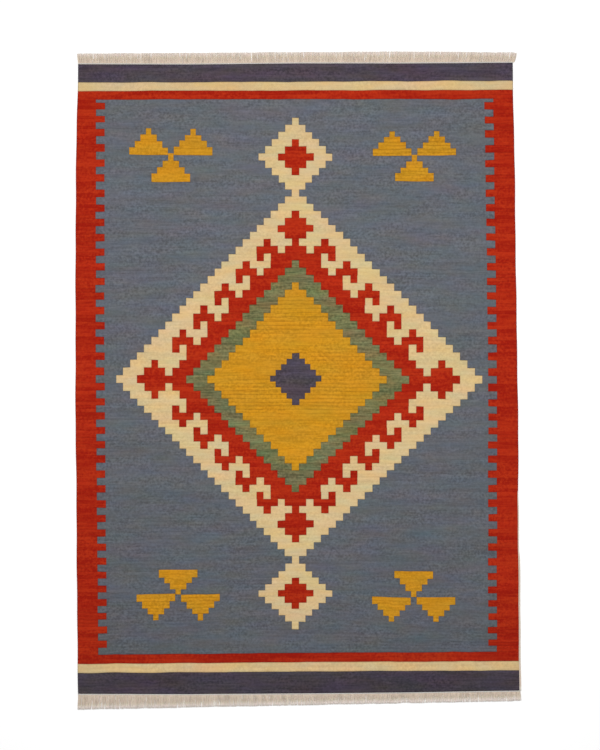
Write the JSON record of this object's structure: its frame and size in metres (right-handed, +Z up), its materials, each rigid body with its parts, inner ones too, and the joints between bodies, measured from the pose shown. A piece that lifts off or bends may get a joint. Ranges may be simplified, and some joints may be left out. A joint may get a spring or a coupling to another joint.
{
  "type": "kilim rug",
  "caption": "Flat-woven wool kilim rug with a stepped diamond medallion, comb-edged side bands and fringed ends, lying flat on the floor.",
  "frame": {"origin": "under the middle of the rug's bounding box, on the surface it lies on", "axes": "+Y along the rug's length towards the far fringe, +X across its width to the right, +Z up out of its face"},
  "size_m": [1.2196, 1.8032, 0.0036],
  "materials": {
    "kilim_wool": "matt weft-faced flat weave of dyed wool in slate blue, brick red, cream, mustard, sage green and aubergine",
    "fringe_yarn": "matt undyed warp yarn, combed out"
  },
  "bodies": {
    "root": {"cloth": "kilim_wool", "fringe_far": "fringe_yarn", "fringe_near": "fringe_yarn"}
  },
  "joints": []
}
